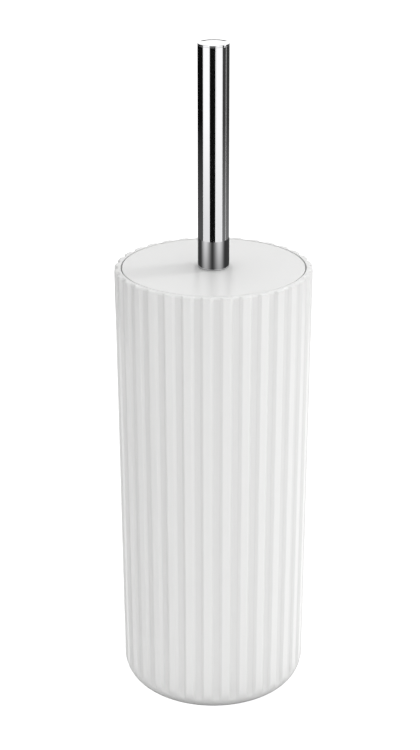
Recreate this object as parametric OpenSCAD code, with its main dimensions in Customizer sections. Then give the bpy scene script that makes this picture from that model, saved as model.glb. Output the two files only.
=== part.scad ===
// Toilet brush holder: a ribbed, tapered outer shell with a lift-out inner cup, a flush round lid
// and a brush whose tubular handle stands on the lid. Millimetres, +Z up, floor at z = 0, axis at x = y = 0.

/* [Outer shell] */
// Height of the rim above the floor
rim_z = 234; // [225:1:245]
// Radius over the ribs at the rim
rim_r = 50; // [49.6:0.1:51]
// Inward lean of the wall towards the floor, in degrees
wall_lean = 0.59; // [0.3:0.01:0.7]
// Wall left behind the bottom of a groove
wall_t = 2; // [1.6:0.1:2.2]
// Number of vertical ribs
rib_count = 32; // [30:1:34]
// How far the ribs stand out from the grooves
rib_depth = 1.4; // [1:0.1:1.6]
// Width of a rib's flat face at the rim
rib_face = 3.9; // [3.4:0.1:4.2]
// Width of a groove's flat floor
groove_floor = 3.2; // [2.6:0.1:3.4]
// Radius of the rounding where the wall turns under
foot_round = 15; // [12:1:17]
// Radius of the rounded outer edge of the rim
rim_round = 1.2; // [0.8:0.1:1.4]
// Thickness of the shell's floor
floor_t = 3.5; // [3:0.1:4]
// Height of the ledge that carries the cup's flange
ledge_h = 3; // [2.5:0.1:4]

/* [Base pad] */
// Radius of the soft pad under the shell
pad_r = 28; // [24:1:30]
// How far the pad lifts the shell off the floor
pad_lift = 2; // [1.5:0.1:2.5]
// How far the pad is let into the shell's floor
pad_inset = 1.2; // [0.8:0.1:1.4]

/* [Inner cup] */
// Outer radius of the cup's wall under its flange
cup_r = 44; // [43:0.1:44.2]
// How much narrower the cup is at its foot
cup_taper = 2.5; // [1.5:0.1:3]
// Wall and floor thickness of the cup
cup_t = 1.8; // [1.5:0.1:2]
// Radius of the rounding at the cup's foot
cup_round = 16; // [12:1:20]
// Thickness of the cup's flange
flange_t = 2; // [1.5:0.1:2.5]

/* [Lid] */
// Thickness of the lid's plate
lid_t = 3; // [2.5:0.1:3.5]
// Radius of the lid
lid_r = 46.2; // [45.8:0.05:46.3]
// Gap all round the lid and the flange
lid_gap = 0.45; // [0.35:0.05:0.6]
// Depth of the centring skirt under the lid
skirt_h = 9; // [6:1:14]
// Depth of the boss under the lid
boss_h = 5; // [4:0.5:6]

/* [Handle] */
// Height of the handle above the lid, with its end cap
handle_h = 113.5; // [100:0.5:130]
// Outer radius of the handle tube
handle_r = 7.9; // [7.6:0.05:8.2]
// Wall of the handle tube
handle_t = 0.8; // [0.7:0.1:1]
// Thickness of the end cap's disc
cap_t = 1; // [0.8:0.1:1.5]

/* [Stem] */
// Outer radius of the stem tube
stem_r = 6; // [5.8:0.1:6.4]
// Wall of the stem tube
stem_t = 1; // [0.8:0.1:1]
// Radius of the stud that joins stem, lid and handle
stud_r = 3; // [2.5:0.1:3]
// Length of the stud
stud_l = 44; // [40:1:46]

/* [Brush head] */
// Radius over the side bristles
head_r = 34; // [30:1:36]
// Height of the lowest bristle tips above the floor
head_z = 20; // [18:1:24]
// Height of the end bristles under the hub
end_h = 18; // [14:1:20]
// Height of the band of side bristles
side_h = 60; // [50:1:70]
// Radius of the hub
hub_r = 8; // [7.5:0.5:9]
// Radius of the threaded spigot on which the head screws
spigot_r = 4; // [3.5:0.1:4]

/* [Hidden] */
$fn = 96;
slip = 0.05;
eps = 0.01;
shell_z = pad_lift;
shell_low_z = shell_z + foot_round;
recess_r = lid_r + lid_gap;
flange_z = rim_z - lid_t - flange_t;
flange_top_z = flange_z + flange_t;
ledge_r = cup_r + 0.6;
pitch_angle = 360 / rib_count;
cup_z = shell_z + floor_t + 1.5;
cup_low_r = cup_r - cup_taper;
handle_z = rim_z + slip;
cap_z = rim_z + handle_h - cap_t;
bore_r = handle_r - handle_t;
boss_z = rim_z - lid_t - boss_h;
washer_t = 0.9;
collar_z = boss_z - slip - washer_t;
collar_t = 3;
stem_top_z = collar_z - collar_t;
stem_in_r = stem_r - stem_t;
stud_z = rim_z + 16 - stud_l;
hub_z = head_z + end_h;
hub_top_z = hub_z + side_h + 12;
stem_z = hub_top_z + 2.6;
spigot_l = 14;

// Radius of the shell over its ribs at a height.
function shell_r(z) = rim_r - (rim_z - z) * tan(wall_lean);

// A plain ring or disc standing on z.
module ring(outer, inner, z, h) {
    translate([0, 0, z])
        difference() {
            cylinder(r = outer, h = h);
            translate([0, 0, -1]) cylinder(r = inner, h = h + 2);
        }
}

// Half section of a cup-like solid: a tapered wall, a quarter-round foot and a flat floor.
module cup_section(low_r, top_r, z, top_z, foot) {
    polygon([[0, z + foot], [low_r, z + foot], [top_r, top_z], [0, top_z]]);
    translate([0, z]) square([low_r - foot, foot + eps]);
    intersection() {
        translate([low_r - foot, z + foot]) circle(r = foot);
        translate([0, z]) square([low_r, foot + eps]);
    }
}

// Half section of the shell's outside, with the rim's outer edge rounded.
module shell_outside() {
    cup_section(shell_r(shell_low_z), shell_r(rim_z - rim_round), shell_z, rim_z - rim_round, foot_round);
    translate([0, rim_z - rim_round - eps]) square([rim_r - rim_round, rim_round + eps]);
    intersection() {
        translate([rim_r - rim_round, rim_z - rim_round]) circle(r = rim_round);
        translate([0, rim_z - rim_round - eps]) square([rim_r, rim_round + 1]);
    }
}

// Half section of the shell's hollow: the wall, the ledge and the recess for flange and lid.
module shell_hollow() {
    inset = rib_depth + wall_t;
    ledge_z = flange_z - ledge_h;
    cup_section(shell_r(shell_low_z) - inset, shell_r(ledge_z) - inset, shell_z + floor_t, ledge_z,
                foot_round - floor_t);
    translate([0, ledge_z - eps]) square([ledge_r, ledge_h + 2 * eps]);
    translate([0, flange_z]) square([recess_r, lid_t + flange_t + 1]);
}

// One flat-bottomed groove with sloping sides, leaning with the wall.
module rib_groove() {
    floor_w = groove_floor / 2;
    mouth_w = rim_r * sin(pitch_angle / 2) - rib_face / 2;
    slope = (mouth_w - floor_w) / rib_depth;
    lift = 4;
    wide_w = floor_w + slope * lift;
    translate([shell_r(0) - rib_depth, 0, 0])
        rotate([0, wall_lean, 0])
            translate([0, 0, -lift])
                linear_extrude(rim_z + 3 * lift)
                    polygon([[0, -floor_w], [lift, -wide_w], [lift, wide_w], [0, floor_w]]);
}

module outer_shell() {
    color([0.93, 0.93, 0.93])
        difference() {
            rotate_extrude(angle = 360)
                difference() {
                    shell_outside();
                    shell_hollow();
                }
            for (k = [0 : rib_count - 1])
                rotate([0, 0, k * pitch_angle])
                    rib_groove();
            translate([0, 0, shell_z - 1]) cylinder(r = pad_r + 0.4, h = pad_inset + 1);
        }
}

module base_pad() {
    color([0.75, 0.75, 0.75])
        cylinder(r = pad_r, h = pad_lift + pad_inset);
}

module inner_cup() {
    color([0.88, 0.88, 0.88])
        rotate_extrude(angle = 360)
            difference() {
                union() {
                    cup_section(cup_low_r, cup_r, cup_z, flange_top_z, cup_round);
                    translate([0, flange_z]) square([lid_r, flange_t]);
                }
                cup_section(cup_low_r - cup_t, cup_r - cup_t, cup_z + cup_t, flange_top_z + 1,
                            cup_round - cup_t);
            }
}

module lid() {
    edge = 0.4;
    skirt_r = cup_r - cup_t - 0.6;
    color([0.92, 0.92, 0.92]) {
        difference() {
            union() {
                translate([0, 0, rim_z - lid_t]) cylinder(r = lid_r, h = lid_t - edge);
                translate([0, 0, rim_z - edge]) cylinder(r1 = lid_r, r2 = lid_r - edge, h = edge);
                ring(skirt_r, skirt_r - 2, rim_z - lid_t - skirt_h, skirt_h + eps);
                translate([0, 0, boss_z]) cylinder(r = 12, h = boss_h + eps);
            }
            translate([0, 0, boss_z - 1]) cylinder(r = stud_r + slip + 0.02, h = boss_h + lid_t + 2);
        }
    }
}

module lid_washer() {
    color("silver") ring(9.5, stud_r + 0.2, collar_z, washer_t);
}

module handle_tube() {
    color([0.8, 0.8, 0.82]) ring(handle_r, bore_r, handle_z, cap_z - handle_z);
}

module handle_end_cap() {
    edge = 0.3;
    color([0.8, 0.8, 0.82]) {
        translate([0, 0, cap_z]) cylinder(r = handle_r, h = cap_t - edge);
        translate([0, 0, cap_z + cap_t - edge]) cylinder(r1 = handle_r, r2 = handle_r - edge, h = edge);
        translate([0, 0, cap_z - 8]) cylinder(r = bore_r - 0.02, h = 8 + eps);
    }
}

module handle_insert() {
    color([0.3, 0.3, 0.3])
        difference() {
            translate([0, 0, handle_z + 0.6]) cylinder(r = bore_r - 0.02, h = 22);
            translate([0, 0, handle_z]) cylinder(r = stud_r + 0.02, h = 18);
        }
}

module joining_stud() {
    color("silver") translate([0, 0, stud_z]) cylinder(r = stud_r, h = stud_l);
}

module stem_tube() {
    color([0.8, 0.8, 0.82]) ring(stem_r, stem_in_r, stem_z, stem_top_z - stem_z);
}

module stem_top_plug() {
    color([0.3, 0.3, 0.3])
        difference() {
            union() {
                translate([0, 0, stem_top_z]) cylinder(r = 9, h = collar_t);
                translate([0, 0, stem_top_z - 22]) cylinder(r = stem_in_r - 0.02, h = 22 + eps);
            }
            translate([0, 0, stud_z - 1]) cylinder(r = stud_r + 0.02, h = stud_l);
        }
}

module stem_bottom_plug() {
    color([0.85, 0.85, 0.85]) {
        translate([0, 0, hub_top_z - spigot_l]) cylinder(r = spigot_r, h = spigot_l + 1);
        translate([0, 0, hub_top_z + slip]) cylinder(r = stem_r, h = stem_z - hub_top_z - slip);
        translate([0, 0, stem_z - eps]) cylinder(r = stem_in_r - 0.02, h = 22);
    }
}

module brush_hub() {
    color([0.9, 0.9, 0.9])
        difference() {
            union() {
                translate([0, 0, hub_z]) cylinder(r = hub_r, h = hub_top_z - hub_z);
                translate([0, 0, hub_top_z - 8]) cylinder(r = hub_r + 2, h = 8);
            }
            translate([0, 0, hub_top_z - spigot_l - 1]) cylinder(r = spigot_r + slip, h = spigot_l + 2);
        }
}

module side_bristles() {
    shoulder = 10;
    color([0.97, 0.97, 0.97])
        rotate_extrude(angle = 360)
            difference() {
                union() {
                    translate([0, hub_z + 0.3]) square([head_r, side_h - shoulder - 0.3]);
                    translate([0, hub_z + side_h - shoulder - eps]) square([head_r - shoulder, shoulder]);
                    intersection() {
                        translate([head_r - shoulder, hub_z + side_h - shoulder]) circle(r = shoulder);
                        translate([0, hub_z + side_h - shoulder - eps]) square([head_r, shoulder + 1]);
                    }
                }
                square([hub_r + 0.3, rim_z]);
            }
}

module end_bristles() {
    color([0.97, 0.97, 0.97])
        rotate_extrude(angle = 360)
            intersection() {
                translate([0, head_z]) square([head_r, end_h - 0.3]);
                union() {
                    translate([head_r - end_h, head_z + end_h]) circle(r = end_h);
                    square([head_r - end_h, rim_z]);
                }
            }
}

outer_shell();
base_pad();
inner_cup();
lid();
lid_washer();
handle_tube();
handle_end_cap();
handle_insert();
joining_stud();
stem_tube();
stem_top_plug();
stem_bottom_plug();
brush_hub();
side_bristles();
end_bristles();
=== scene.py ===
import math
import random

import bpy
import numpy as np
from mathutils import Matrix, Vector


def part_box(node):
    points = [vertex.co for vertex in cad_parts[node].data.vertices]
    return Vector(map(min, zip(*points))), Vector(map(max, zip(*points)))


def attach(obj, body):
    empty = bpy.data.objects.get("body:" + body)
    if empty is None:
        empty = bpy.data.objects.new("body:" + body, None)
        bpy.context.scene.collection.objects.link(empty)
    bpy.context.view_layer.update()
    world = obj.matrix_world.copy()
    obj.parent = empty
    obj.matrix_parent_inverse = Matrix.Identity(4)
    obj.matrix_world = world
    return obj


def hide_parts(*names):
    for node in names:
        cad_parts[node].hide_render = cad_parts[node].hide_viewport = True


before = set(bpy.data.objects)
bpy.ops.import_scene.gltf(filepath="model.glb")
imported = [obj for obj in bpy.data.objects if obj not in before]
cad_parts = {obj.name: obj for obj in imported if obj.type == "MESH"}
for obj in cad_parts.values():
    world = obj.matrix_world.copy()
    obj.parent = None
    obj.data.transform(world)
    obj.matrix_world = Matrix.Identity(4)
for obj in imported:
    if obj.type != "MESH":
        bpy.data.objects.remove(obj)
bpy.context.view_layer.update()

# ---------------------------------------------------------------- sizes, in metres
MM = 0.001
RIBS = 32
RIB_DEPTH = 1.4 * MM
WALL_LEAN = math.radians(0.59)
FOOT_ROUND = 15.0 * MM
RIM_ROUND = 1.2 * MM
WALL = 2.0 * MM
FLOOR = 3.5 * MM
LEDGE = 3.0 * MM
LID_GAP = 0.45 * MM
FOOT_RINGS = 32
WALL_RINGS = 8
RIM_RINGS = 8
# Painted shade: groove floors are painted this much darker, in place of the shade that falls in the grooves.
PAINTED_GROOVE_SHADE = 0.955

shell_low, shell_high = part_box("outer_shell")
_, pad_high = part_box("base_pad")
cup_low, cup_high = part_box("inner_cup")
lid_low, lid_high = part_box("lid")
tube_low, tube_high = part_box("handle_tube")
cap_low, cap_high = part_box("handle_end_cap")
insert_low, insert_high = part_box("handle_insert")
stud_low, stud_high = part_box("joining_stud")
washer_low, washer_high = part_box("lid_washer")
stem_low, stem_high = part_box("stem_tube")
top_plug_low, top_plug_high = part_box("stem_top_plug")
bottom_plug_low, bottom_plug_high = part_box("stem_bottom_plug")
hub_low, hub_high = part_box("brush_hub")
side_low, side_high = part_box("side_bristles")
end_low, end_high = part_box("end_bristles")

RIM_Z = shell_high.z
RIM_R = 50.0 * MM
LID_R = lid_high.x
HANDLE_R = tube_high.x
FLANGE_Z = RIM_Z - 5.0 * MM
STEM_R = stem_high.x
STUD_R = stud_high.x
HEAD_R = side_high.x
HUB_R = 8.0 * MM


# ---------------------------------------------------------------- mesh helpers
def new_object(name, vertices, faces):
    mesh = bpy.data.meshes.new(name)
    mesh.from_pydata(vertices, [], faces)
    mesh.validate()
    for polygon in mesh.polygons:
        polygon.use_smooth = True
    obj = bpy.data.objects.new(name, mesh)
    bpy.context.scene.collection.objects.link(obj)
    return obj


def rounded(corners, steps=5):
    """Turns (r, z, radius) corners into outline points, with an arc at each corner that has a radius."""
    points = []
    count = len(corners)
    for i, (r, z, radius) in enumerate(corners):
        here = Vector((r, z))
        if radius <= 0:
            points.append((r, z))
            continue
        before = (Vector(corners[i - 1][:2]) - here).normalized()
        after = (Vector(corners[(i + 1) % count][:2]) - here).normalized()
        half = before.angle(after) / 2
        centre = here + (before + after).normalized() * (radius / math.sin(half))
        start = here + before * (radius / math.tan(half)) - centre
        end = here + after * (radius / math.tan(half)) - centre
        sweep = math.atan2(start.x * end.y - start.y * end.x, start.dot(end))
        for k in range(steps + 1):
            c = math.cos(sweep * k / steps)
            s = math.sin(sweep * k / steps)
            x = centre.x + start.x * c - start.y * s
            y = centre.y + start.x * s + start.y * c
            points.append((x, y))
    return points


def skin(name, rings):
    """Closes a row of rings into a surface, back to the first. A ring is a loop of points or one point."""
    vertices = []
    loops = []
    width = max(len(ring) for ring in rings)
    for ring in rings:
        first = len(vertices)
        vertices.extend(ring)
        loops.append([first + k % len(ring) for k in range(width)])
    faces = []
    for i, low in enumerate(loops):
        high = loops[(i + 1) % len(loops)]
        for k in range(width):
            n = (k + 1) % width
            corners = [low[k], low[n], high[n], high[k]]
            face = [v for j, v in enumerate(corners) if v != corners[j - 1]]
            if len(face) > 2:
                faces.append(face)
    obj = new_object(name, vertices, faces)
    weighted = obj.modifiers.new("face weighted normals", "WEIGHTED_NORMAL")
    weighted.weight = 100
    return obj


def circle(r, z, segments):
    if r < 1e-7:
        return [(0, 0, z)]
    angles = [2 * math.pi * k / segments for k in range(segments)]
    return [(r * math.cos(a), r * math.sin(a), z) for a in angles]


def lathe(name, outline, segments=128):
    """A solid of revolution from an (r, z) outline that starts and ends on the axis, or closes on itself."""
    return skin(name, [circle(r, z, segments) for r, z in outline])


def thread(r, low, high, pitch, depth, segments):
    """Rings of a screw thread, with a coarse sharp profile."""
    count = math.ceil((high - low) / pitch * 6)
    rings = []
    for i in range(count + 1):
        z = low + (high - low) * i / count
        ring = []
        for k in range(segments):
            turn = ((z - low) / pitch - k / segments) % 1
            radius = r - depth * abs(2 * turn - 1)
            angle = 2 * math.pi * k / segments
            ring.append((radius * math.cos(angle), radius * math.sin(angle), z))
        rings.append(ring)
    return rings


# ---------------------------------------------------------------- outer shell
def wall_r(z):
    """Radius over the ribs at a height."""
    return RIM_R - (RIM_Z - z) * math.tan(WALL_LEAN)


def groove_depth(t):
    """Share of the groove's depth at t, from 0 in the middle of a rib to 1 in the middle of a groove."""
    start, end, soft = 0.39, 0.68, 0.07

    def ramp(x):
        if abs(x) >= soft:
            return max(x, 0)
        return (x + soft) ** 2 / (4 * soft)

    return (ramp(t - start) - ramp(t - end)) / (end - start)


def rib_columns():
    """Angle and groove share of every column of points round the shell, close together on rounded edges."""
    steps = [0, 0.2, 0.32, 0.355, 0.39, 0.425, 0.46, 0.535, 0.61, 0.645, 0.68, 0.715, 0.75, 0.87]
    steps = steps + [1] + [2 - t for t in reversed(steps[1:])]
    columns = []
    for rib in range(RIBS):
        for t in steps:
            angle = (rib + 0.5 + t / 2) * 2 * math.pi / RIBS
            columns.append((angle, groove_depth(min(t, 2 - t))))
    return columns


def smooth_min(a, b, width):
    h = max(width - abs(a - b), 0) / width
    return min(a, b) - h * h * width / 4


def build_shell():
    columns = rib_columns()
    foot_z = shell_low.z + FOOT_ROUND
    foot_r = wall_r(foot_z) - FOOT_ROUND
    rings = []
    groove_shade_mask = []

    # shade sets how much of the groove share goes into the painted shade mask: none at the foot's bottom and
    # the rim, all of it on the wall.
    def ring(radius_at, z, shade=0.0):
        rings.append([(radius_at(g) * math.cos(a), radius_at(g) * math.sin(a), z) for a, g in columns])
        groove_shade_mask.extend(g * shade for a, g in columns)

    def plain(r, z):
        ring(lambda g: r, z)

    pad_hole = 28.4 * MM
    pad_ceiling = pad_high.z
    rings.append([(0, 0, pad_ceiling)])
    groove_shade_mask.append(0.0)
    plain(pad_hole, pad_ceiling)
    plain(pad_hole, shell_low.z + 0.2 * MM)
    plain(pad_hole + 0.2 * MM, shell_low.z)
    for k in range(FOOT_RINGS + 1):
        a = math.pi / 2 * k / FOOT_RINGS
        z = foot_z - FOOT_ROUND * math.cos(a)
        arc = foot_r + FOOT_ROUND * math.sin(a)
        ring(lambda g: smooth_min(arc, wall_r(z) - RIB_DEPTH * g, 0.5 * MM), z, k / FOOT_RINGS)
    for k in range(1, WALL_RINGS + 1):
        z = foot_z + (RIM_Z - RIM_ROUND - foot_z) * k / WALL_RINGS
        ring(lambda g: wall_r(z) - RIB_DEPTH * g, z, 1.0)
    for k in range(1, RIM_RINGS + 1):
        a = math.pi / 2 * k / RIM_RINGS
        z = RIM_Z - RIM_ROUND + RIM_ROUND * math.sin(a)
        inset = RIM_ROUND * (1 - math.cos(a))
        ring(lambda g: wall_r(z) - RIB_DEPTH * g - inset, z)
    ring(lambda g: wall_r(RIM_Z) - RIB_DEPTH * g - RIM_ROUND - 0.05 * MM, RIM_Z)
    recess_r = LID_R + LID_GAP
    plain(recess_r + 0.25 * MM, RIM_Z)
    ledge_r = 44.6 * MM
    inset = RIB_DEPTH + WALL
    ledge_z = FLANGE_Z - LEDGE
    inside = rounded(
        [
            (recess_r + 0.2 * MM, RIM_Z, 0),
            (recess_r, RIM_Z - 0.15 * MM, 0),
            (recess_r, FLANGE_Z, 0),
            (ledge_r, FLANGE_Z, 0.3 * MM),
            (ledge_r, ledge_z, 0.3 * MM),
            (wall_r(ledge_z) - inset, ledge_z, 0),
            (wall_r(foot_z) - inset, shell_low.z + FLOOR, FOOT_ROUND - FLOOR),
            (0, shell_low.z + FLOOR, 0),
        ]
    )
    for r, z in inside:
        if r < 1e-6:
            rings.append([(0, 0, z)])
            groove_shade_mask.append(0.0)
        else:
            plain(r, z)
    shell = skin("ribbed_shell", rings)
    # The groove attribute carries the mask for the painted shade in the groove floors.
    layer = shell.data.attributes.new("groove", "FLOAT", "POINT")
    layer.data.foreach_set("value", np.array(groove_shade_mask, np.float32))
    return shell


# ---------------------------------------------------------------- materials
class Nodes:
    """A material's node tree, with short ways to add and link nodes."""

    def __init__(self, name):
        self.material = bpy.data.materials.new(name)
        self.material.use_nodes = True
        self.tree = self.material.node_tree
        self.shader = self.tree.nodes["Principled BSDF"]
        self.place = self.add("ShaderNodeTexCoord").outputs["Object"]

    def add(self, kind, **settings):
        node = self.tree.nodes.new(kind)
        for key, value in settings.items():
            setattr(node, key, value)
        return node

    def link(self, source, target):
        self.tree.links.new(source, target)

    def stretched(self, x, y, z):
        mapping = self.add("ShaderNodeMapping")
        mapping.inputs["Scale"].default_value = (x, y, z)
        self.link(self.place, mapping.inputs["Vector"])
        return mapping.outputs["Vector"]

    def noise(self, scale, detail, place=None):
        node = self.add("ShaderNodeTexNoise")
        node.inputs["Scale"].default_value = scale
        node.inputs["Detail"].default_value = detail
        self.link(place or self.place, node.inputs["Vector"])
        return node.outputs["Fac"]

    def ranged(self, source, low, high, start=0.15, end=0.85):
        node = self.add("ShaderNodeMapRange")
        node.inputs["From Min"].default_value = start
        node.inputs["From Max"].default_value = end
        node.inputs["To Min"].default_value = low
        node.inputs["To Max"].default_value = high
        self.link(source, node.inputs["Value"])
        return node.outputs["Result"]

    def mixed(self, factor, first, second):
        node = self.add("ShaderNodeMix", data_type="RGBA")
        self.link(factor, node.inputs["Factor"])
        for socket, value in ((node.inputs["A"], first), (node.inputs["B"], second)):
            if isinstance(value, tuple):
                socket.default_value = (*value, 1)
            else:
                self.link(value, socket)
        return node.outputs["Result"]

    def bump(self, height, distance):
        node = self.add("ShaderNodeBump")
        node.inputs["Distance"].default_value = distance
        self.link(height, node.inputs["Height"])
        return node.outputs["Normal"]

    def finish(self, colour, roughness, normal, **constants):
        self.link(colour, self.shader.inputs["Base Color"])
        self.link(roughness, self.shader.inputs["Roughness"])
        self.link(normal, self.shader.inputs["Normal"])
        for key, value in constants.items():
            self.shader.inputs[key.replace("_", " ")].default_value = value
        return self.material


def plastic(name, light, dark, rough, grain=1500, depth=0.004 * MM, paint_groove_shade=False):
    """Moulded plastic with a faint tone drift and a fine grain. Painted shade can make a groove's floor a
    little darker.
    """
    n = Nodes(name)
    tone = n.ranged(n.noise(14, 4), 0, 1)
    colour = n.mixed(tone, light, dark)
    if paint_groove_shade:
        # Painted shade: the groove floors are darkened where the groove attribute is high, in place of the
        # shade in the recesses.
        groove = n.add("ShaderNodeAttribute", attribute_name="groove").outputs["Fac"]
        colour = n.mixed(n.ranged(groove, 0, 1, 0.7, 1.0), colour, tuple(PAINTED_GROOVE_SHADE * c for c in dark))
    rough_out = n.ranged(n.noise(25, 3), *rough)
    fine = n.bump(n.noise(grain, 2), depth)
    return n.finish(colour, rough_out, fine)


def metal(name, colour, rough, stretch, depth):
    """Polished or brushed metal. stretch sets how long the marks run in x, y and z."""
    n = Nodes(name)
    tone = n.mixed(n.ranged(n.noise(30, 4), 0, 1), colour, tuple(0.96 * c for c in colour))
    smudge = n.ranged(n.noise(85, 6), *rough, 0.35, 0.75)
    marks = n.noise(1.0, 3, n.stretched(*stretch))
    return n.finish(tone, smudge, n.bump(marks, depth), Metallic=1.0)


def filament(name, root, tip):
    """Nylon bristle, a little clearer towards the tips."""
    n = Nodes(name)
    along = n.add("ShaderNodeAttribute", attribute_name="along").outputs["Fac"]
    colour = n.mixed(along, root, tip)
    tinted = n.mixed(n.ranged(n.noise(220, 3), 0, 0.5), colour, tuple(0.9 * c for c in root))
    return n.finish(tinted, n.ranged(n.noise(400, 3), 0.28, 0.42), n.bump(n.noise(3000, 2), 0.01 * MM))


# ---------------------------------------------------------------- bristles
def bristles(name, strands, thickness, seed):
    """Bent three-sided strands from (root, tip) pairs, each root splayed into a tuft of fine filaments."""
    rng = random.Random(seed)
    vertices = []
    faces = []
    along = []
    levels = (0, 0.5, 1)
    for root, tip, count, spread in strands:
        reach = tip - root
        side = reach.orthogonal().normalized()
        other = reach.cross(side).normalized()
        for _ in range(count):
            angle = rng.uniform(0, 2 * math.pi)
            away = math.sqrt(rng.random())
            lean = side * math.cos(angle) + other * math.sin(angle)
            start = root + lean * (away * 0.9 * MM)
            bend = lean * (away * spread)
            length = rng.uniform(0.955, 1.0)
            first = len(vertices)
            for level in levels:
                centre = start + reach * (level * length) + bend * level ** 1.6
                radius = thickness * (1 - 0.35 * level)
                for k in range(3):
                    turn = angle + 2 * math.pi * k / 3
                    vertices.append(centre + (side * math.cos(turn) + other * math.sin(turn)) * radius)
                    along.append(level)
            for row in range(len(levels) - 1):
                for k in range(3):
                    low = first + row * 3 + k
                    low_next = first + row * 3 + (k + 1) % 3
                    faces.append((low, low_next, low_next + 3, low + 3))
            last = first + 3 * (len(levels) - 1)
            faces.append((last, last + 1, last + 2))
            faces.append((first + 2, first + 1, first))
    obj = new_object(name, vertices, faces)
    layer = obj.data.attributes.new("along", "FLOAT", "POINT")
    layer.data.foreach_set("value", np.array(along, np.float32))
    return obj


def side_strands():
    """Rows of tufts round the hub. The upper rows are shorter, which rounds the head's shoulder."""
    rows = 13
    per_row = 26
    shoulder = 10 * MM
    strands = []
    for row in range(rows):
        z = side_low.z + 1.3 * MM + (side_high.z - side_low.z - 3.8 * MM) * row / (rows - 1)
        sunk = max(z - (side_high.z - shoulder), 0)
        tip_r = HEAD_R - shoulder + math.sqrt(shoulder ** 2 - sunk ** 2) - 0.8 * MM
        for k in range(per_row):
            angle = 2 * math.pi * (k + 0.5 * (row % 2)) / per_row
            out = Vector((math.cos(angle), math.sin(angle), 0))
            root = out * (HUB_R - 0.5 * MM) + Vector((0, 0, z))
            tip = out * tip_r + Vector((0, 0, z))
            strands.append((root, tip, 14, 4.6 * MM if row not in (0, rows - 1) else 1.8 * MM))
    return strands


def end_strands():
    """Tufts under the hub, fanned out from straight down to sideways."""
    bowl_r = end_high.z - end_low.z
    strands = []
    for ring, (tilt, per_ring) in enumerate(((0, 1), (14, 6), (30, 12), (48, 18), (66, 24), (84, 32))):
        lean = math.radians(tilt)
        for k in range(per_ring):
            angle = 2 * math.pi * (k + 0.5 * (ring % 2)) / per_ring
            out = Vector((math.cos(angle), math.sin(angle), 0))
            root_r = min(HUB_R - 1.5 * MM, HUB_R * math.sin(lean) * 0.8)
            root = out * root_r + Vector((0, 0, hub_low.z + 0.5 * MM))
            tip_r = (HEAD_R - bowl_r) * tilt / 90 + bowl_r * math.sin(lean) - 0.8 * MM * (tilt > 0)
            tip = out * tip_r + Vector((0, 0, hub_low.z - (bowl_r - 0.6 * MM) * math.cos(lean) - 0.8 * MM))
            strands.append((root, tip, 18, 2.6 * MM))
    return strands


# ---------------------------------------------------------------- pieces
def piece(obj, body, node, material):
    """Puts a detailed piece on its body, in place of the CAD node."""
    obj.data.materials.append(material)
    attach(obj, body)
    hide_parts(node)


# The shell's plastic carries painted shade in its groove floors.
white = plastic("shell_white", (0.74, 0.74, 0.735), (0.72, 0.72, 0.715), rough=(0.27, 0.35), paint_groove_shade=True)
lid_white = plastic("lid_white", (0.74, 0.74, 0.735), (0.725, 0.725, 0.72), rough=(0.26, 0.34))
cup_grey = plastic("cup_grey", (0.66, 0.67, 0.67), (0.62, 0.63, 0.63), rough=(0.4, 0.52), grain=1800)
pad_soft = plastic(
    "pad_soft", (0.5, 0.5, 0.49), (0.44, 0.44, 0.435), rough=(0.62, 0.78), grain=1200, depth=0.04 * MM
)
dark = plastic("dark_plastic", (0.05, 0.05, 0.052), (0.035, 0.035, 0.037), rough=(0.38, 0.5))
hub_white = plastic("hub_white", (0.78, 0.78, 0.77), (0.75, 0.75, 0.74), rough=(0.32, 0.42))
chrome = metal("chrome", (0.62, 0.62, 0.63), (0.03, 0.07), (700, 700, 40), 0.0006 * MM)
brushed = metal("brushed_steel", (0.6, 0.59, 0.58), (0.2, 0.3), (260, 260, 5200), 0.004 * MM)
plain_steel = metal("plain_steel", (0.56, 0.56, 0.55), (0.26, 0.4), (700, 700, 700), 0.01 * MM)
nylon = filament("bristle_nylon", (0.84, 0.84, 0.83), (0.93, 0.93, 0.92))

piece(build_shell(), "holder", "outer_shell", white)

pad_r = pad_high.x
pad_outline = [(0, pad_high.z, 0), (pad_r, pad_high.z, 0.4 * MM), (pad_r, 0, 0.5 * MM)]
for groove_r in (22 * MM, 15 * MM, 8 * MM):
    pad_outline.extend(
        [
            (groove_r + 1.2 * MM, 0, 0.3 * MM),
            (groove_r + 0.7 * MM, 0.7 * MM, 0.3 * MM),
            (groove_r - 0.7 * MM, 0.7 * MM, 0.3 * MM),
            (groove_r - 1.2 * MM, 0, 0.3 * MM),
        ]
    )
pad = lathe("pad_disc", rounded(pad_outline + [(0, 0, 0)]), 96)
piece(pad, "holder", "base_pad", pad_soft)

cup_t = 1.8 * MM
cup_foot_r = 41.5 * MM
cup_top_r = 44.0 * MM
cup_round = 16 * MM
cup = lathe(
    "cup_vessel",
    rounded(
        [
            (0, cup_low.z + cup_t, 0),
            (cup_foot_r - cup_t, cup_low.z + cup_t, cup_round - cup_t),
            (cup_top_r - cup_t, cup_high.z, 0.4 * MM),
            (cup_high.x, cup_high.z, 0.4 * MM),
            (cup_high.x, FLANGE_Z, 0.4 * MM),
            (cup_top_r, FLANGE_Z, 0.4 * MM),
            (cup_foot_r, cup_low.z, cup_round),
            (0, cup_low.z, 0),
        ],
        8,
    ),
)
piece(cup, "inner_cup", "inner_cup", cup_grey)

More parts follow.
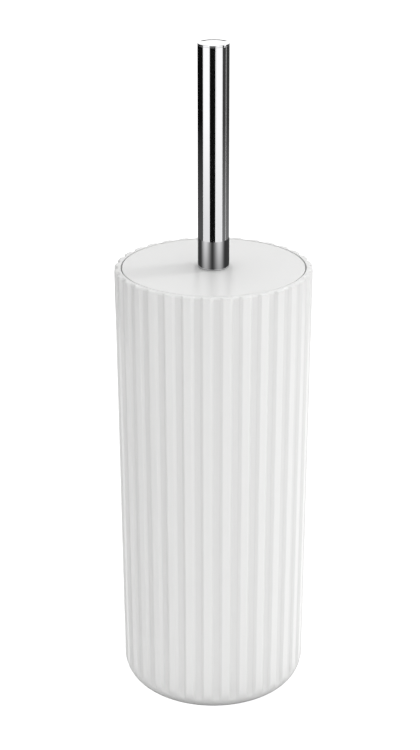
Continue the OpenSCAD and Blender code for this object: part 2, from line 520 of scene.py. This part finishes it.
lid_t = 3 * MM
skirt_r = 41.6 * MM
boss_z = RIM_Z - 8 * MM
bore_r = STUD_R + 0.07 * MM
plate_z = lid_high.z - lid_t
lid = lathe(
    "lid_plate",
    rounded(
        [
            (bore_r, lid_high.z, 0.2 * MM),
            (LID_R, lid_high.z, 0.5 * MM),
            (LID_R, plate_z, 0.3 * MM),
            (skirt_r, plate_z, 0.5 * MM),
            (skirt_r, lid_low.z, 0.6 * MM),
            (skirt_r - 2 * MM, lid_low.z, 0.6 * MM),
            (skirt_r - 2 * MM, plate_z, 1 * MM),
            (12 * MM, plate_z, 1 * MM),
            (12 * MM, boss_z, 0.5 * MM),
            (bore_r, boss_z, 0.2 * MM),
        ]
    ),
    192,
)
piece(lid, "lid", "lid", lid_white)

tube_in = HANDLE_R - 0.8 * MM
tube = lathe(
    "handle_tube_polished",
    rounded(
        [
            (HANDLE_R, tube_high.z, 0.15 * MM),
            (HANDLE_R, tube_low.z, 0.3 * MM),
            (tube_in, tube_low.z, 0.2 * MM),
            (tube_in, tube_high.z, 0.1 * MM),
        ]
    ),
    160,
)
piece(tube, "brush", "handle_tube", chrome)

cap = lathe(
    "handle_cap_polished",
    rounded(
        [
            (0, cap_high.z, 0),
            (HANDLE_R - 2.2 * MM, cap_high.z, 1 * MM),
            (HANDLE_R, cap_high.z - 0.14 * MM, 0.25 * MM),
            (HANDLE_R, cap_high.z - 1 * MM, 0.12 * MM),
            (tube_in - 0.05 * MM, cap_high.z - 1 * MM, 0),
            (tube_in - 0.05 * MM, cap_low.z, 0.4 * MM),
            (0, cap_low.z, 0),
        ]
    ),
    160,
)
piece(cap, "brush", "handle_end_cap", chrome)

insert_r = insert_high.x
insert = lathe(
    "handle_insert_moulded",
    rounded(
        [
            (0, insert_high.z, 0),
            (insert_r, insert_high.z, 0.5 * MM),
            (insert_r, insert_low.z, 0.5 * MM),
            (STUD_R + 0.02 * MM, insert_low.z, 0.3 * MM),
            (STUD_R + 0.02 * MM, stud_high.z + 2 * MM, 0.2 * MM),
            (0, stud_high.z + 2 * MM, 0),
        ]
    ),
    64,
)
piece(insert, "brush", "handle_insert", dark)

stud_end = 0.6 * MM
stud_rings = [circle(0, stud_low.z, 32), circle(STUD_R - stud_end, stud_low.z, 32)]
stud_rings += thread(STUD_R, stud_low.z + stud_end, stud_high.z - stud_end, 1 * MM, 0.5 * MM, 32)
stud_rings += [circle(STUD_R - stud_end, stud_high.z, 32), circle(0, stud_high.z, 32)]
piece(skin("stud_threaded", stud_rings), "brush", "joining_stud", plain_steel)

washer_in = STUD_R + 0.2 * MM
washer = lathe(
    "washer_ring",
    rounded(
        [
            (washer_in, washer_high.z, 0.12 * MM),
            (washer_high.x, washer_high.z, 0.25 * MM),
            (washer_high.x, washer_low.z, 0.12 * MM),
            (washer_in, washer_low.z, 0.12 * MM),
        ]
    ),
    96,
)
piece(washer, "brush", "lid_washer", plain_steel)

stem_in = STEM_R - 1 * MM
stem = lathe(
    "stem_tube_brushed",
    rounded(
        [
            (STEM_R, stem_high.z, 0.2 * MM),
            (STEM_R, stem_low.z, 0.2 * MM),
            (stem_in, stem_low.z, 0.2 * MM),
            (stem_in, stem_high.z, 0.2 * MM),
        ]
    ),
)
piece(stem, "brush", "stem_tube", brushed)

plug_r = stem_in - 0.02 * MM
top_plug = lathe(
    "top_plug_moulded",
    rounded(
        [
            (0, top_plug_low.z, 0),
            (plug_r, top_plug_low.z, 0.6 * MM),
            (plug_r, stem_high.z, 0),
            (top_plug_high.x, stem_high.z, 0.6 * MM),
            (top_plug_high.x, top_plug_high.z, 0.5 * MM),
            (STUD_R + 0.02 * MM, top_plug_high.z, 0.2 * MM),
            (STUD_R + 0.02 * MM, stud_low.z - 1 * MM, 0),
            (0, stud_low.z - 1 * MM, 0),
        ]
    ),
    96,
)
piece(top_plug, "brush", "stem_top_plug", dark)

spigot_r = 4 * MM
collar_low = hub_high.z + 0.05 * MM
plug_rings = [circle(0, bottom_plug_low.z, 48), circle(spigot_r - 0.8 * MM, bottom_plug_low.z, 48)]
plug_rings += thread(spigot_r, bottom_plug_low.z + 1 * MM, hub_high.z - 2 * MM, 2 * MM, 0.8 * MM, 48)
collar = rounded(
    [
        (spigot_r - 0.5 * MM, hub_high.z - 1.5 * MM, 0),
        (spigot_r - 0.5 * MM, collar_low, 0.2 * MM),
        (STEM_R, collar_low, 0.3 * MM),
        (STEM_R, stem_low.z, 0.2 * MM),
        (plug_r, stem_low.z, 0),
        (plug_r, bottom_plug_high.z, 0.6 * MM),
        (0, bottom_plug_high.z, 0),
    ]
)
plug_rings += [circle(r, z, 48) for r, z in collar]
piece(skin("bottom_plug_moulded", plug_rings), "brush", "stem_bottom_plug", hub_white)

socket_r = spigot_r + 0.05 * MM
hub_collar_r = hub_high.x
hub = lathe(
    "hub_moulded",
    rounded(
        [
            (0, hub_low.z, 0),
            (HUB_R, hub_low.z, 1.2 * MM),
            (HUB_R, hub_high.z - 8 * MM, 0.8 * MM),
            (hub_collar_r, hub_high.z - 8 * MM, 0.6 * MM),
            (hub_collar_r, hub_high.z, 0.8 * MM),
            (socket_r, hub_high.z, 0.3 * MM),
            (socket_r, bottom_plug_low.z - 1 * MM, 0.2 * MM),
            (0, bottom_plug_low.z - 1 * MM, 0),
        ]
    ),
    96,
)
piece(hub, "brush_head", "brush_hub", hub_white)

side = bristles("side_filaments", side_strands(), 0.22 * MM, 7)
piece(side, "brush_head", "side_bristles", nylon)
end = bristles("end_filaments", end_strands(), 0.22 * MM, 11)
piece(end, "brush_head", "end_bristles", nylon)


# ---------------------------------------------------------------- stage
CAMERA_TURN = -1.9
CARD_DISTANCE = 0.6
CARD_TURN = (0.07, 0.16)
LIGHT_TARGET = Vector((0, 0, 0.15))


def around(azimuth, distance, height):
    """A place round the holder. Azimuth 0 is towards the camera and grows to the picture's right."""
    a = math.radians(azimuth + CAMERA_TURN)
    return Vector((distance * math.sin(a), -distance * math.cos(a), height))


def plain_material(name, colour, roughness, glow=0.0):
    material = bpy.data.materials.new(name)
    material.use_nodes = True
    shader = material.node_tree.nodes["Principled BSDF"]
    shader.inputs["Base Color"].default_value = (colour, colour, colour, 1)
    shader.inputs["Roughness"].default_value = roughness
    shader.inputs["Specular IOR Level"].default_value = 0
    shader.inputs["Emission Color"].default_value = (1, 1, 1, 1)
    shader.inputs["Emission Strength"].default_value = glow
    return material


def hide_card(card, **seen):
    """Takes a card out of the picture. It stays visible to the kinds of ray named in seen."""
    for kind in ("camera", "diffuse", "glossy", "transmission", "shadow"):
        setattr(card, "visible_" + kind, seen.get(kind, False))


def glow_material(name):
    """A black card material whose glow is still to be linked."""
    n = Nodes(name)
    n.shader.inputs["Base Color"].default_value = (0, 0, 0, 1)
    n.shader.inputs["Specular IOR Level"].default_value = 0
    n.shader.inputs["Emission Color"].default_value = (1, 1, 1, 1)
    return n


def reflector(name, start, end, low_glow, high_glow, low=0.0, high=0.85):
    """An upright curved card between two azimuths, seen only in reflections. Its glow changes with height."""
    steps = 12
    angles = [start + (end - start) * k / steps for k in range(steps + 1)]
    points = [around(a, CARD_DISTANCE, z) for z in (low, high) for a in angles]
    faces = [(k, k + 1, k + steps + 2, k + steps + 1) for k in range(steps)]
    card = new_object(name, points, faces)
    n = glow_material(name)
    height = n.add("ShaderNodeSeparateXYZ")
    n.link(n.place, height.inputs["Vector"])
    glow = n.ranged(height.outputs["Z"], low_glow, high_glow, *CARD_TURN)
    n.link(glow, n.shader.inputs["Emission Strength"])
    card.data.materials.append(n.material)
    hide_card(card, glossy=True)


def soft_glow(azimuth, dim, lights):
    """Glow low and high on a ring at an azimuth, where each light fades out evenly to both of its sides."""
    low_glow = high_glow = dim
    for centre, half_width, low, high in lights:
        off = abs((azimuth - centre + 180) % 360 - 180)
        share = math.cos(math.pi / 2 * min(off / half_width, 1)) ** 2
        low_glow += share * low
        high_glow += share * high
    return low_glow, high_glow


def reflector_ring(name, dim, lights, distance, low, high):
    """A ring with soft lights on it, seen only in reflections."""
    count = 120
    azimuths = [360 * k / count for k in range(count)]
    glows = [soft_glow(a, dim, lights) for a in azimuths]
    points = [around(a, distance, z) for z in (low, high) for a in azimuths]
    faces = [(k, (k + 1) % count, (k + 1) % count + count, k + count) for k in range(count)]
    ring = new_object(name, points, faces)
    layer = ring.data.attributes.new("glow", "FLOAT", "POINT")
    layer.data.foreach_set("value", [glow[0] for glow in glows] + [glow[1] for glow in glows])
    n = glow_material(name)
    glow = n.add("ShaderNodeAttribute", attribute_name="glow")
    n.link(glow.outputs["Fac"], n.shader.inputs["Emission Strength"])
    ring.data.materials.append(n.material)
    hide_card(ring, glossy=True)


def softbox(name, azimuth, elevation, distance, size, watts):
    """A square light that faces the middle of the holder."""
    data = bpy.data.lights.new(name, "AREA")
    data.shape = "SQUARE"
    data.size = size
    data.energy = watts
    light = bpy.data.objects.new(name, data)
    e = math.radians(elevation)
    light.location = around(azimuth, distance * math.cos(e), distance * math.sin(e)) + LIGHT_TARGET
    light.rotation_euler = (LIGHT_TARGET - light.location).to_track_quat("-Z", "Y").to_euler()
    bpy.context.scene.collection.objects.link(light)


floor = new_object("floor", [(-20, -20, 0), (20, -20, 0), (20, 20, 0), (-20, 20, 0)], [(0, 1, 2, 3)])
floor.data.materials.append(plain_material("floor_white", 0.3, 0.9, 1.0))

# A white drum that only the camera sees. It hides the line where the floor meets the world.
sides = 48
drum_r = 8
backdrop = new_object(
    "backdrop",
    circle(drum_r, 0.002, sides) + circle(drum_r, drum_r, sides),
    [(k, (k + 1) % sides, (k + 1) % sides + sides, k + sides) for k in range(sides)],
)
backdrop.data.materials.append(plain_material("backdrop_white", 0.0, 0.9, 1.0))
hide_card(backdrop, camera=True)

# A disc that keeps the glowing floor's light off the foot.
shade_r = 0.06
shade = lathe("shade_card", [(0, 0.0004), (shade_r, 0.0004), (shade_r, 0.0003), (0, 0.0003)], 48)
shade.data.materials.append(plain_material("shade_grey", 0.43, 0.9))
hide_card(shade, diffuse=True, glossy=True)

world = bpy.data.worlds.new("studio")
world.use_nodes = True
world.node_tree.nodes["Background"].inputs["Color"].default_value = (1, 1, 1, 1)
world.node_tree.nodes["Background"].inputs["Strength"].default_value = 0.65
bpy.context.scene.world = world
bpy.context.scene.view_settings.view_transform = "Standard"

# The holder's light, then the cards that give the chrome its bright and dark bands.
softbox("key", 106, 45, 1.6, 0.35, 5)
softbox("top", 180, 80, 1.6, 1.2, 8.5)
softbox("right_side", 80, 18, 1.4, 0.7, 0.9)
softbox("right_front", 30, 18, 1.4, 0.5, 1.9)
reflector("card_front", -28, 12, 0.006, 0.006)
reflector("card_left_rear", -145, -82, 0.12, 0.006, high=0.5)
reflector("card_left_edge", -172, -145, 0.12, 0.006, high=0.355)
reflector("card_right_rear", 66, 97, 0.27, 0.07)
reflector("card_right_edge", 100, 150, 0.25, 0.06, high=0.5)
reflector("card_left", -78, -32, 1.2, 1.6)
reflector("card_right", 20, 60, 1.3, 1.6)
reflector("card_behind", 152, 208, 1.45, 1.45, low=0.432, high=0.6)
reflector("card_behind_low", 152, 208, 0, 0, low=0.36, high=0.427)

# Left, right and rear lights for the foot of the handle: azimuth, half width, glow low and glow high.
FOOT_LIGHTS = (
    (-35, 30, 0.5, 1.0),
    (25, 30, 0.5, 1.0),
    (180, 100, 0.5, 0.7),
)
FOOT_DIM = 0.06
reflector_ring("foot_ring", FOOT_DIM, FOOT_LIGHTS, 0.0094, 0.2342, 0.2485)

# A grey sweep on the left, from near the foot along the floor and up, that dims the bounced light there.
flag_angles = range(-150, -30, 10)
flag_rows = ((0.085, 0.0005), (0.8, 0.0005), (0.8, 0.6))
flag_points = [around(a, r, z) for r, z in flag_rows for a in flag_angles]
flag_width = len(flag_angles)
flag_faces = [
    (k, k + 1, k + flag_width + 1, k + flag_width)
    for row in range(len(flag_rows) - 1)
    for k in range(row * flag_width, (row + 1) * flag_width - 1)
]
flag = new_object("flag_left", flag_points, flag_faces)
flag.data.materials.append(plain_material("flag_grey", 0.75, 0.9))
hide_card(flag, diffuse=True)

# ---------------------------------------------------------------- camera
CAMERA_DISTANCE = 0.955
CAMERA_HEIGHT = 0.550
AIM = Vector((-0.0018, 0, 0.1752))

camera_data = bpy.data.cameras.new("camera")
camera_data.sensor_width = 36
camera_data.lens = 95.86
camera_data.clip_start = 0.01
camera = bpy.data.objects.new("camera", camera_data)
camera.location = around(0, CAMERA_DISTANCE, CAMERA_HEIGHT)
camera.rotation_euler = (AIM - camera.location).to_track_quat("-Z", "Y").to_euler()
bpy.context.scene.collection.objects.link(camera)
bpy.context.scene.camera = camera
